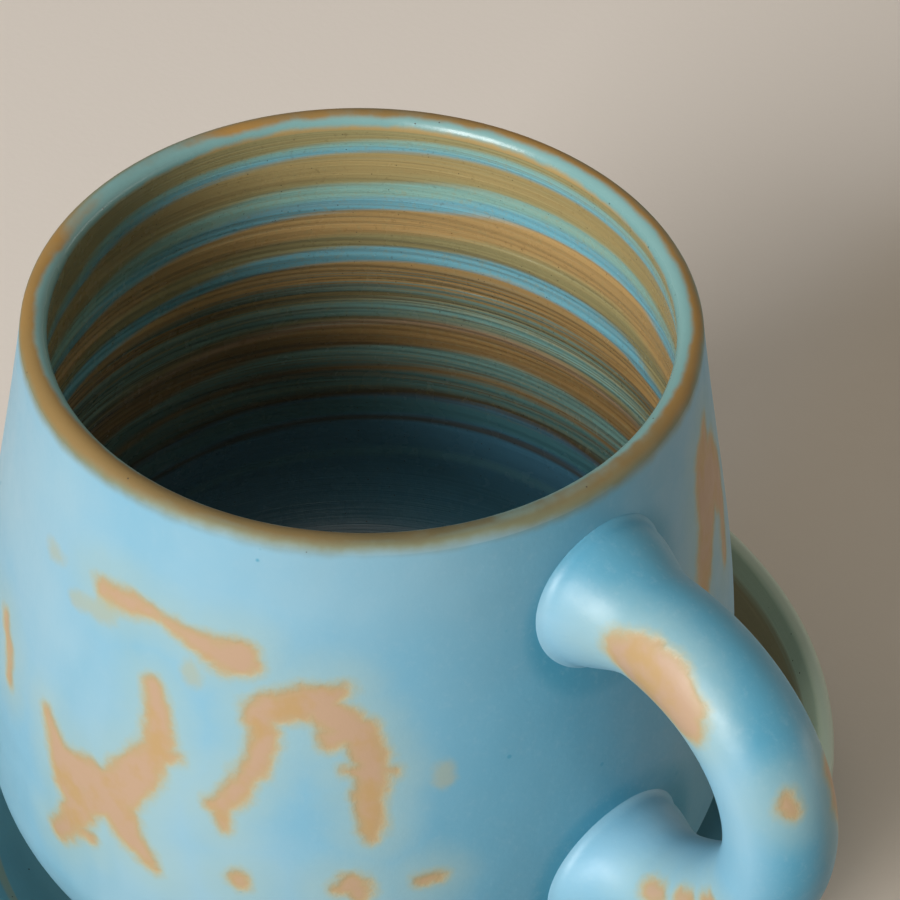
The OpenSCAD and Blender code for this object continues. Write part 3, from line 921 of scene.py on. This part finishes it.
def make_handle_coat(material):
    angle = np.linspace(0, 2 * math.pi, HANDLE_SIDES, endpoint=False)
    start = where_it_meets_the_wall(angle, *START_BETWEEN)
    end = where_it_meets_the_wall(angle, *END_BETWEEN)
    step = np.linspace(0, 1, HANDLE_STEPS + 1)
    step = step - BUNCHING * np.sin(2 * math.pi * step) / (2 * math.pi)
    t = start + step[:, None] * (end - start)
    angles = np.broadcast_to(angle, t.shape)
    outer = handle_points(t, angles, GLAZE_T)[0]
    inner = handle_points(t, angles, 0)[0]
    verts = np.concatenate([outer.reshape(-1, 3), inner.reshape(-1, 3)]) + [0, 0, MUG_Z]
    rows = [i * HANDLE_SIDES for i in range(HANDLE_STEPS + 1)]
    back = len(rows) * HANDLE_SIDES
    pairs = list(zip(rows, rows[1:]))
    pairs += [(back + b, back + a) for a, b in zip(rows, rows[1:])]
    pairs += [(back, 0), (rows[-1], back + rows[-1])]
    faces = []
    for a, b in pairs:
        for k in range(HANDLE_SIDES):
            n = (k + 1) % HANDLE_SIDES
            faces.append((a + k, b + k, b + n, a + n))
    along = t.ravel() * HANDLE_RUN
    round_it = np.degrees(angles.ravel())
    strokes = [[(a, share * HANDLE_RUN, w) for share, a, w in stroke] for stroke in HANDLE_BREAKS]
    depth = stroke_depth(strokes, round_it, HANDLE_W / 2, along)
    # Painted shade on the handle's outer face
    shaded_face = HANDLE_SHADE * np.interp(np.cos(angles.ravel()), HANDLE_SHADE_FROM, (0, 1))
    values = {
        "break_depth": np.tile(depth, 2),
        "faint_depth": np.full(len(verts), -FAR),
        "pool_and_shade": np.tile(shaded_face, 2),
    }
    make_piece("handle_coat", verts, faces, values, "mug", "handle_glaze", material)


# The saucer's profile: its upper face out to the lip, and its underside from the foot ring to the lip
saucer_lip_c = np.array([SAUCER_D / 2 - SAUCER_LIP_R, SAUCER_H - SAUCER_LIP_R])
across_wall = SAUCER_LIP_R * direction(-SAUCER_LEAN)
saucer_wall_down = -direction(90 - SAUCER_LEAN)
saucer_pull = PULL * WELL_DEPTH
well_edge = np.array([WELL_D / 2, MUG_Z])
saucer_foot = np.array([SAUCER_FOOT_D / 2, SAUCER_FOOT_H])
well_curve = [
    well_edge, well_edge + [saucer_pull, 0],
    saucer_lip_c - across_wall + saucer_pull * saucer_wall_down, saucer_lip_c - across_wall,
]
under_curve = [
    saucer_foot, saucer_foot + saucer_pull * direction(SAUCER_HEEL_LEAN),
    saucer_lip_c + across_wall + saucer_pull * saucer_wall_down, saucer_lip_c + across_wall,
]


def saucer_top(coat, flat_steps, wall_steps, lip_steps):
    flat = level_line(0, WELL_D / 2, MUG_Z - GLAZE_T + coat, flat_steps)
    lip = arc(saucer_lip_c, SAUCER_LIP_R - GLAZE_T + coat, 180 - SAUCER_LEAN, -SAUCER_LEAN, lip_steps)
    return joined(flat, curve(well_curve, wall_steps, coat - GLAZE_T), lip)


def make_saucer_top_coat(material):
    front = saucer_top(GLAZE_T, FLOOR_STEPS, HEEL_STEPS, LIP_STEPS)
    back = saucer_top(0, 1, BACK_STEPS, BACK_STEPS)
    line = closed_profile(front, back)
    verts, faces = lathe(line[:, 0], line[:, 1], SAUCER_SIDES)
    run = arc_length(front)
    lip_drop = np.concatenate([run[-1] - run - SAUCER_LIP_R * math.pi / 2, np.zeros(len(back))])
    values = {"lip_drop": row_values(lip_drop, line[:, 0], SAUCER_SIDES)}
    make_piece(
        "saucer_top_coat", verts, faces, values, "saucer", "saucer_top_glaze", material
    )


def make_saucer_under_coat(material):
    front = curve(under_curve, HEEL_STEPS)
    back = curve(under_curve, BACK_STEPS, GLAZE_T)
    line = closed_profile(front, back)
    verts, faces = lathe(line[:, 0], line[:, 1], SAUCER_SIDES)
    far = np.full(len(verts), -FAR)
    values = {"break_depth": far, "faint_depth": far, "pool_and_shade": np.zeros(len(verts))}
    make_piece(
        "saucer_under_coat", verts, faces, values, "saucer", "saucer_under_glaze", material
    )


sky = sky_glaze("sky_glaze", True)
plain_sky = sky_glaze("plain_sky_glaze", False)
make_outer_coat(sky)
make_lip_coat(lip_glaze())
make_liner_coat(banded_glaze())
make_handle_coat(plain_sky)
make_saucer_top_coat(saucer_glaze())
make_saucer_under_coat(plain_sky)

clay = stoneware()
for node_name in ("mug_body", "mug_handle", "saucer_body"):
    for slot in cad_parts[node_name].material_slots:
        slot.material = clay


# The camera: its rise over the lip's centre in degrees and its distance from it in millimetres, how far it
# looks to the right and down, its roll, its sensor and lens in millimetres, the nearest it sees in metres
CAMERA_RISE = 40.32
CAMERA_REACH = 468.4
CAMERA_YAW = 1.71
CAMERA_PITCH = 42.14
CAMERA_ROLL = 1.65
CAMERA_SENSOR = 36.0
CAMERA_LENS = 160.0
CAMERA_NEAR = 0.01


def make_camera():
    """Looks down into the mug from beside the handle, as the photograph does."""
    rise, yaw, pitch, roll = (
        math.radians(a) for a in (CAMERA_RISE, CAMERA_YAW, CAMERA_PITCH, CAMERA_ROLL)
    )
    lip_centre = Vector((0, 0, (MUG_Z + lip_c[1]) * MM))
    ahead = turned(math.sin(yaw) * math.cos(pitch), math.cos(yaw) * math.cos(pitch), -math.sin(pitch))
    level = turned(math.cos(yaw), -math.sin(yaw), 0)
    above = level.cross(ahead)
    right = level * math.cos(roll) + above * math.sin(roll)
    up = above * math.cos(roll) - level * math.sin(roll)
    back = -ahead
    spin = Matrix((right, up, back)).transposed().to_4x4()
    data = bpy.data.cameras.new("camera")
    data.sensor_width = CAMERA_SENSOR
    data.lens = CAMERA_LENS
    data.clip_start = CAMERA_NEAR
    camera = bpy.data.objects.new("camera", data)
    place = lip_centre + turned(0, -math.cos(rise), math.sin(rise)) * CAMERA_REACH * MM
    camera.matrix_world = Matrix.Translation(place) @ spin
    bpy.context.collection.objects.link(camera)
    bpy.context.scene.camera = camera


# Half the table top's width and the depth of its grain, in metres
FLOOR_HALF = 3.0
FLOOR_GRAIN = 0.00002
# Painted shade on the table top: the way, as seen from the camera's side, in which it grows warmer and a
# little darker over the mug's shadow, and where that starts and ends
SHADE_TINT_WAY = (1.0, -0.6, 0.0)
SHADE_TINT_REACH = (-0.01, 0.025)
# Distances from the mug between which the table top fades into the even backdrop
BACKDROP_REACH = (0.24, 0.6)


def background_rays(tree):
    """1 for the rays that show the background: the camera's, and those that gloss and glass send on."""
    rays = tree.nodes.new("ShaderNodeLightPath").outputs
    seen = rays["Is Camera Ray"]
    for name in ("Is Glossy Ray", "Is Transmission Ray"):
        either = tree.nodes.new("ShaderNodeMath")
        either.operation = "MAXIMUM"
        tree.links.new(seen, either.inputs[0])
        tree.links.new(rays[name], either.inputs[1])
        seen = either.outputs[0]
    return seen


def make_floor():
    """A pale matt table top under the saucer, which gives back less light than it shows, with a painted warm
    shade where the mug's shadow falls.
    """
    corners = [(x * FLOOR_HALF, y * FLOOR_HALF, 0) for x, y in ((-1, -1), (1, -1), (1, 1), (-1, 1))]
    mesh = bpy.data.meshes.new("floor")
    mesh.from_pydata(corners, [], [(0, 1, 2, 3)])
    paint = Paint("floor")
    place = paint.place()
    seen = background_rays(paint.tree)
    # Painted shade: warmer and a little darker towards where the mug's shadow falls
    toward_shade = paint.along(place, turned(*SHADE_TINT_WAY))
    toward_shade = paint.math("ADD", toward_shade, paint.span(paint.noise(place, 6.0), 0.3, 0.7, -0.004, 0.004))
    colour = paint.mix(paint.span(toward_shade, *SHADE_TINT_REACH), STAGE, STAGE_SHADE_TINT)
    colour = paint.mix(seen, STAGE_BOUNCE, colour)
    roughness = paint.span(paint.noise(place, 300.0), 0.3, 0.7, 0.75, 0.85)
    material = paint.finish(colour, roughness, paint.bump(paint.noise(place, 900.0), FLOOR_GRAIN))
    reach = paint.node("ShaderNodeVectorMath", {0: place}, operation="LENGTH").outputs["Value"]
    far = paint.math("MULTIPLY", seen, paint.span(reach, *BACKDROP_REACH))
    even = paint.node("ShaderNodeEmission", {"Color": BACKDROP}).outputs[0]
    blend = paint.node("ShaderNodeMixShader", {0: far, 1: paint.shader.outputs[0], 2: even}).outputs[0]
    paint.tree.links.new(blend, paint.tree.nodes["Material Output"].inputs["Surface"])
    mesh.materials.append(material)
    floor = bpy.data.objects.new("floor", mesh)
    bpy.context.collection.objects.link(floor)


# Lamps: the direction of each as seen from the camera's side, its distance and its two widths in metres, its
# watts and its colour
LAMPS = {
    "window": ((-0.577, -0.692, 0.418), 2.2, (1.0, 1.2), 59.2, (0.99, 0.985, 0.97)),
    "ceiling": ((-0.2, -0.05, 1.0), 1.3, (1.2, 1.2), 2.0, (1.0, 0.95, 0.84)),
    "card": ((0.98, 0.1, 0.04), 1.2, (1.0, 0.12), 2.0, (1.0, 0.95, 0.88)),
}
# The point the lamps look at, in metres, and the colour and strength of the even light from all sides
LAMP_AIM = (0, 0, 0.05)
FILL = (1.0, 0.95, 0.84, 1.0)
FILL_STRENGTH = 0.202


def make_lamp(name, towards, distance, size, watts, colour):
    """A soft rectangular lamp that looks at the mug."""
    data = bpy.data.lights.new(name, "AREA")
    data.shape = "RECTANGLE"
    data.size, data.size_y = size
    data.energy = watts
    data.color = colour
    lamp = bpy.data.objects.new(name, data)
    away = turned(*towards).normalized()
    lamp.location = Vector(LAMP_AIM) + away * distance
    lamp.rotation_euler = away.to_track_quat("Z", "Y").to_euler()
    bpy.context.collection.objects.link(lamp)


def make_light():
    for name, settings in LAMPS.items():
        make_lamp(name, *settings)
    world = bpy.data.worlds.new("studio")
    world.use_nodes = True
    nodes, links = world.node_tree.nodes, world.node_tree.links
    fill = nodes["Background"]
    fill.inputs["Color"].default_value = FILL
    fill.inputs["Strength"].default_value = FILL_STRENGTH
    backdrop = nodes.new("ShaderNodeBackground")
    backdrop.inputs["Color"].default_value = BACKDROP
    blend = nodes.new("ShaderNodeMixShader")
    links.new(background_rays(world.node_tree), blend.inputs[0])
    links.new(fill.outputs[0], blend.inputs[1])
    links.new(backdrop.outputs[0], blend.inputs[2])
    links.new(blend.outputs[0], nodes["World Output"].inputs["Surface"])
    bpy.context.scene.world = world
    bpy.context.scene.view_settings.view_transform = "Standard"


make_camera()
make_floor()
make_light()
